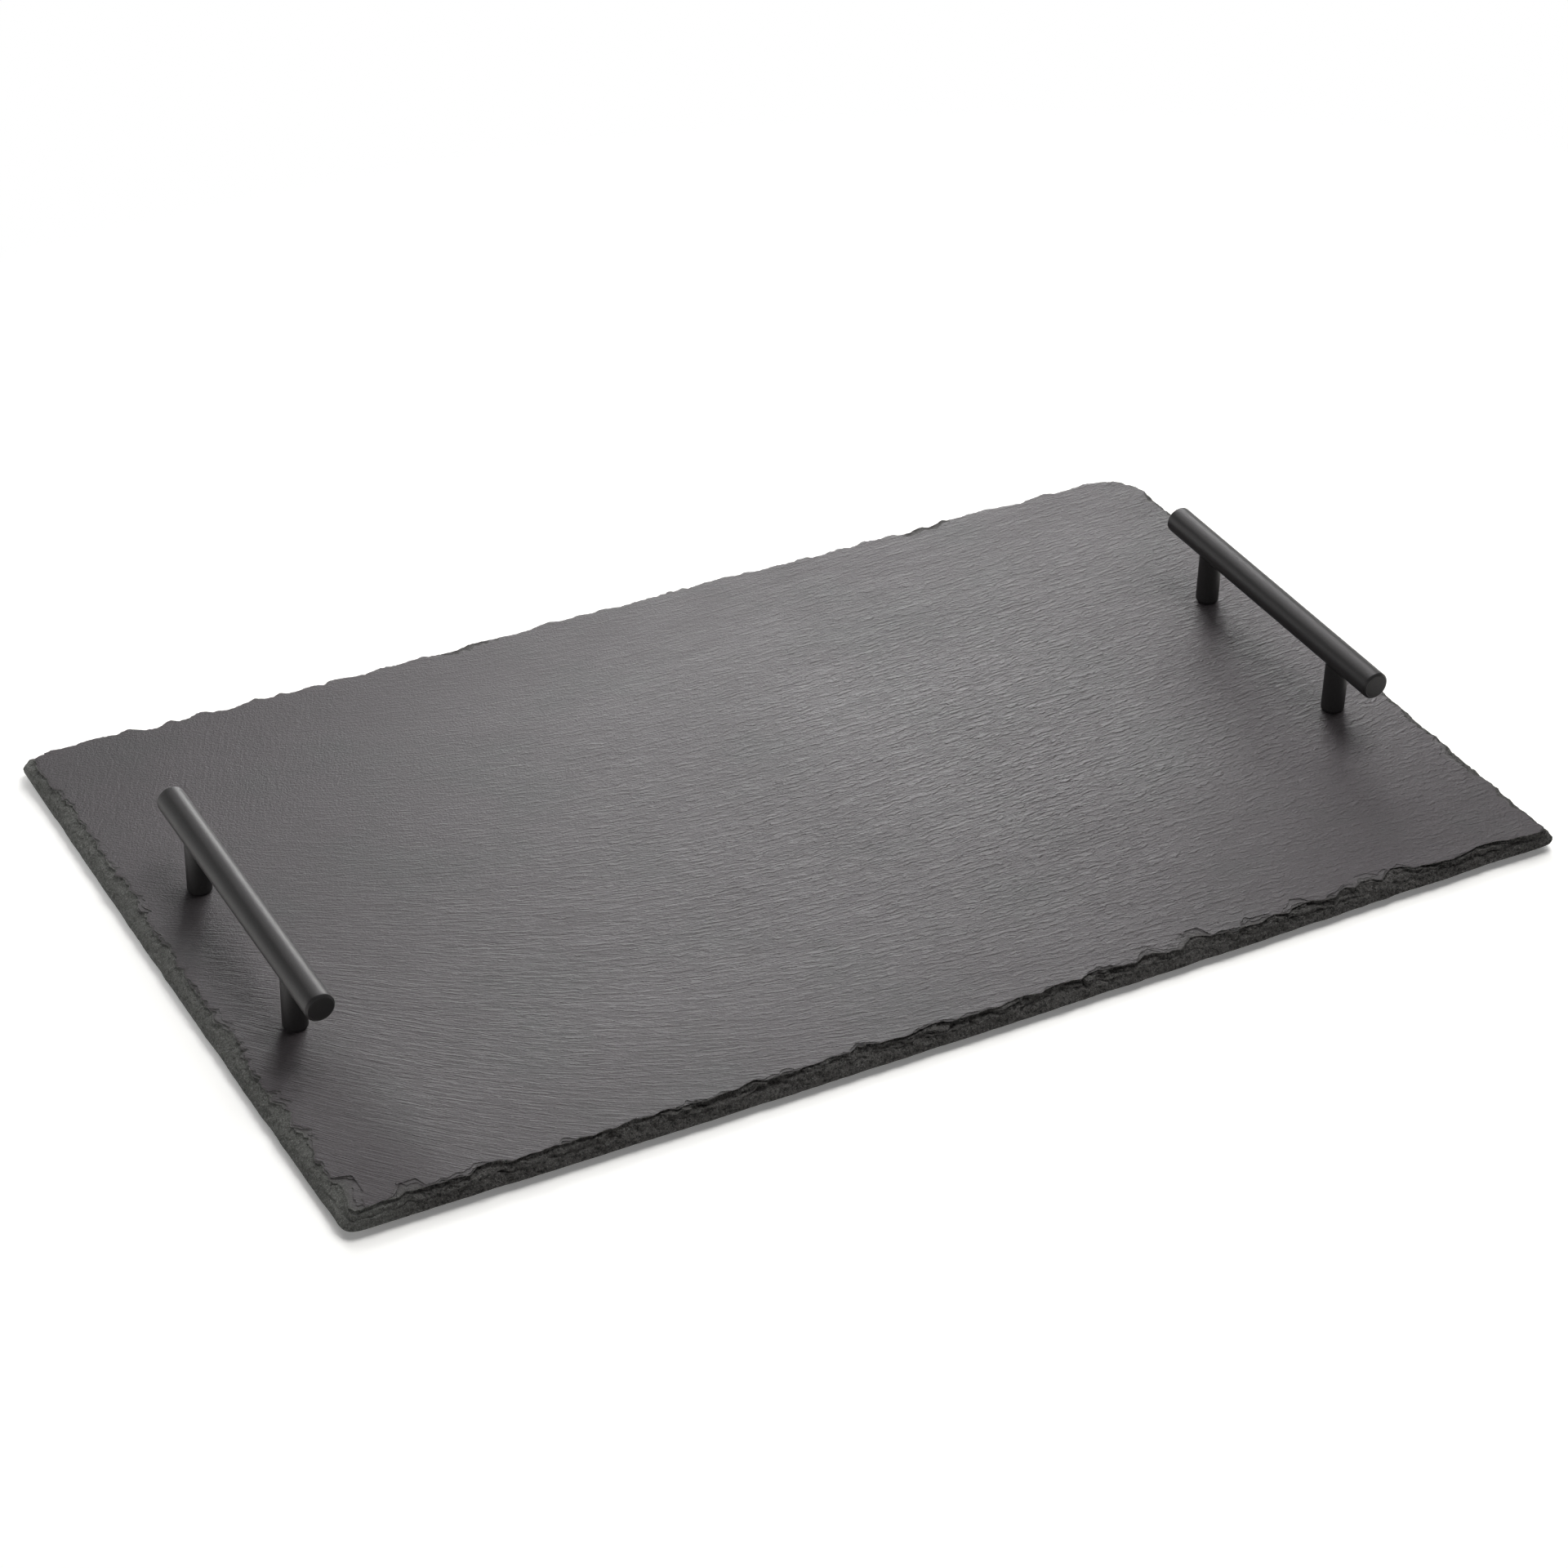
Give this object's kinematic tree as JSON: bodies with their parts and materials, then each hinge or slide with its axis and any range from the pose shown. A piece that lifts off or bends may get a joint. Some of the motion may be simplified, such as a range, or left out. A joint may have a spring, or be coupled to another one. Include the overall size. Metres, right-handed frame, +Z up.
{
  "type": "serving board",
  "caption": "Rectangular slate serving board with chipped edges, rubber feet and a black bar handle on round posts at each end.",
  "frame": {"origin": "middle of the footprint, on the surface that the rubber feet stand on", "axes": "+X along the length towards the right handle, +Y towards the back edge, +Z up out of the serving face"},
  "size_m": [0.535, 0.3281, 0.0424],
  "materials": {
    "slate": "natural riven face, dressed rough edges, matt",
    "black_powder_coat": "fine satin powder coat on steel",
    "zinc_plated_steel": "bright zinc plate, slightly dull",
    "black_rubber": "matt moulded rubber"
  },
  "bodies": {
    "root": {"slate_board": "slate", "left_handle_bar": "black_powder_coat", "right_handle_bar": "black_powder_coat", "left_front_post": "black_powder_coat", "left_back_post": "black_powder_coat", "right_front_post": "black_powder_coat", "right_back_post": "black_powder_coat", "left_front_stud": "zinc_plated_steel", "left_back_stud": "zinc_plated_steel", "right_front_stud": "zinc_plated_steel", "right_back_stud": "zinc_plated_steel", "left_front_screw": "zinc_plated_steel", "left_back_screw": "zinc_plated_steel", "right_front_screw": "zinc_plated_steel", "right_back_screw": "zinc_plated_steel", "left_front_washer": "zinc_plated_steel", "left_back_washer": "zinc_plated_steel", "right_front_washer": "zinc_plated_steel", "right_back_washer": "zinc_plated_steel", "left_front_foot": "black_rubber", "left_back_foot": "black_rubber", "right_front_foot": "black_rubber", "right_back_foot": "black_rubber"}
  },
  "joints": []
}
